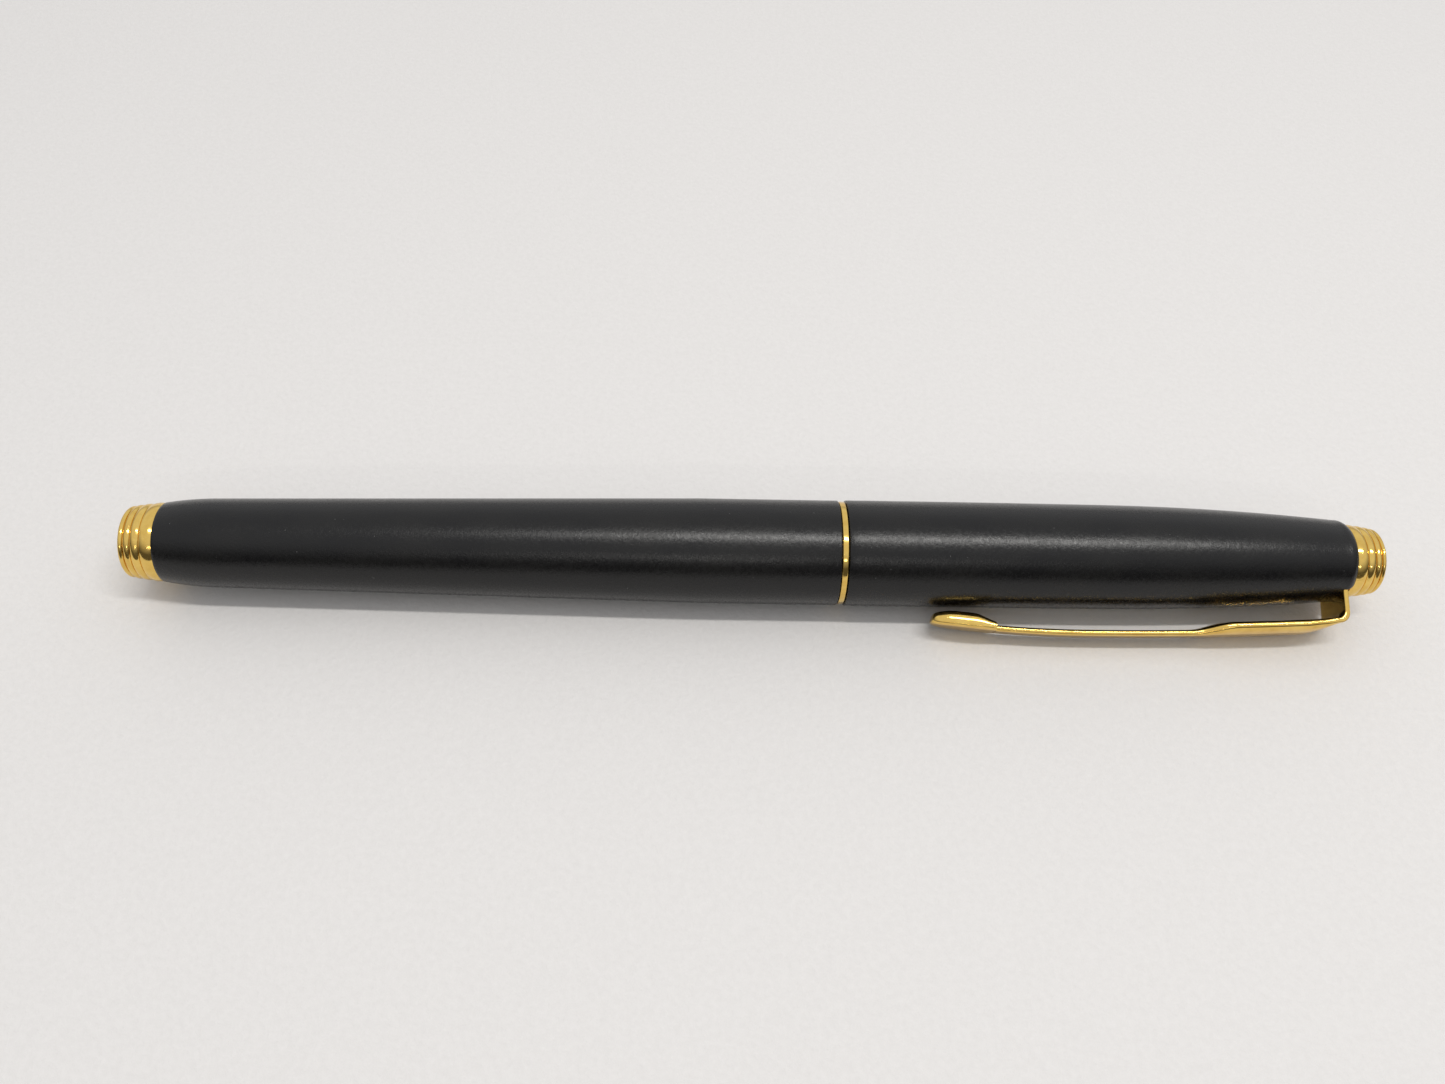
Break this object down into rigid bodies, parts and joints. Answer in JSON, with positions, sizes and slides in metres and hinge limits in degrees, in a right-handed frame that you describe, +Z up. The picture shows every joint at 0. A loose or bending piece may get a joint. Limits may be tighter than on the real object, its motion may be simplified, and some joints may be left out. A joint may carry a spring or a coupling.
{
  "type": "rollerball pen",
  "caption": "Capped rollerball pen: tapered matte black barrel and cap, ribbed gold end caps, thin trim ring and sprung clip; the cap pulls off and the section unscrews.",
  "frame": {"origin": "centre of the tail's flat end face, on the pen's axis", "axes": "+X along the pen's axis from tail to cap, +Z up from the surface the pen lies on, clip towards -Y"},
  "size_m": [0.135, 0.0143, 0.0116],
  "materials": {
    "black_resin": "matte black lacquer with a soft sheen",
    "grip_resin": "polished black resin",
    "gold_plate": "polished gold plate",
    "snap_gold": "polished gold plate",
    "raw_brass": "machined brass",
    "spring_steel": "drawn wire",
    "inner_plastic": "moulded",
    "refill_body": "satin tube",
    "refill_plastic": "moulded",
    "tip_metal": "turned nickel silver",
    "ball_carbide": "polished carbide",
    "ink_fibre": "ink-soaked fibre"
  },
  "bodies": {
    "barrel": {"barrel_shell": "black_resin", "tail_finial": "gold_plate", "tail_nut": "raw_brass", "barrel_liner": "raw_brass", "barrel_thread_bush": "raw_brass", "refill_spring": "spring_steel"},
    "trim": {"trim_ring": "gold_plate"},
    "front": {"section_thread": "raw_brass", "grip_section": "grip_resin", "nose_cone": "gold_plate"},
    "snap": {"snap_ring": "snap_gold"},
    "refill": {"refill_plug": "inner_plastic", "refill_tube": "refill_body", "ink_reservoir": "ink_fibre", "ink_wick": "ink_fibre", "refill_nose": "refill_plastic", "refill_tip": "tip_metal"},
    "ball": {"writing_ball": "ball_carbide"},
    "cap": {"cap_shell": "black_resin", "cap_finial": "gold_plate", "clip_stud": "raw_brass", "cap_clutch": "raw_brass", "inner_cap": "inner_plastic", "clip_root": "gold_plate"},
    "clip": {"clip_arm": "gold_plate"}
  },
  "joints": [
    {"name": "section_travel", "type": "slide", "parent": "barrel", "child": "trim", "axis": [1, 0, 0], "range_m": [0, 0.0061]},
    {"name": "section_turn", "type": "hinge", "parent": "trim", "child": "front", "pos_m": [0.07635, 0, 0], "axis": [1, 0, 0], "range_deg": [0, 2160]},
    {"name": "cap_turn", "type": "hinge", "parent": "front", "child": "snap", "pos_m": [0.0843, 0, 0], "axis": [1, 0, 0], "continuous": true},
    {"name": "cap_pull", "type": "slide", "parent": "snap", "child": "cap", "axis": [1, 0, 0], "range_m": [0, 0.065]},
    {"name": "clip_flex", "type": "hinge", "parent": "cap", "child": "clip", "pos_m": [0.12891, -0.00652, -0.00318], "axis": [0, -0.4384, 0.8988], "range_deg": [0, 3.5], "stiffness_Nm_per_rad": 2},
    {"name": "refill_press", "type": "slide", "parent": "front", "child": "refill", "axis": [-1, 0, 0], "range_m": [0, 0.0012], "stiffness_N_per_m": 250, "springref_m": -0.003, "deforming": ["refill_spring"]},
    {"name": "ball_roll", "type": "hinge", "parent": "refill", "child": "ball", "pos_m": [0.12212, 0, 0], "axis": [0, 1, 0], "continuous": true}
  ],
  "couplings": [
    {"joint": "section_travel", "follows": "section_turn", "m_per_rad": 0.00015915}
  ]
}
